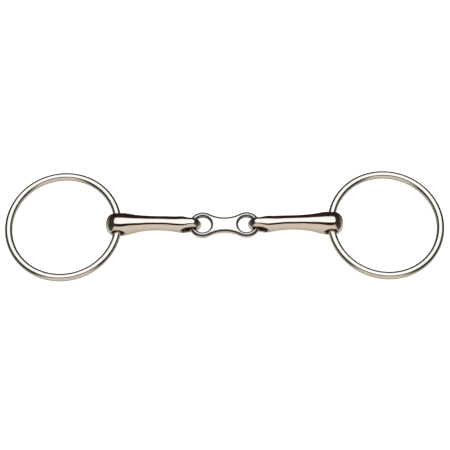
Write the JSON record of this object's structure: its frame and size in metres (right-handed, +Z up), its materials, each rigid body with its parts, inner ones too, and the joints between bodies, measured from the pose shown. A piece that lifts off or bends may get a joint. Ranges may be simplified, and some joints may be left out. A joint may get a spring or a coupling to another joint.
{
  "type": "snaffle bit",
  "caption": "Loose-ring French-link snaffle bit: round rings run through the butts of curved mouthpiece arms, hooked together by a flat link plate.",
  "frame": {"origin": "middle of the bit, on the surface that it lies on, under the middle of the link plate", "axes": "+X along the mouthpiece towards the right ring, +Y across it, +Z up out of the link plate's flat face"},
  "size_m": [0.2686, 0.0716, 0.0146],
  "materials": {
    "link_steel": "polished stainless steel, bright on the flat faces",
    "arm_steel": "polished cast stainless steel, slightly warm",
    "ring_steel": "polished stainless steel wire"
  },
  "bodies": {
    "link": {"link_plate": "link_steel"},
    "arm_left": {"mouthpiece_arm_left": "arm_steel"},
    "arm_right": {"mouthpiece_arm_right": "arm_steel"},
    "ring_left": {"ring_left": "ring_steel"},
    "ring_right": {"ring_right": "ring_steel"}
  },
  "joints": [
    {"name": "arm_left_fold", "type": "hinge", "parent": "link", "child": "arm_left", "pos_m": [-0.02, 0, 0.0057], "axis": [0, -1, 0], "range_deg": [-100, 100]},
    {"name": "arm_right_fold", "type": "hinge", "parent": "link", "child": "arm_right", "pos_m": [0.02, 0, 0.0057], "axis": [0, 1, 0], "range_deg": [-100, 100]},
    {"name": "ring_left_swing", "type": "hinge", "parent": "arm_left", "child": "ring_left", "pos_m": [-0.065, 0, 0.0073], "axis": [0, -1, 0], "range_deg": [-172, 163]},
    {"name": "ring_right_swing", "type": "hinge", "parent": "arm_right", "child": "ring_right", "pos_m": [0.065, 0, 0.0073], "axis": [0, 1, 0], "range_deg": [-172, 163]}
  ]
}
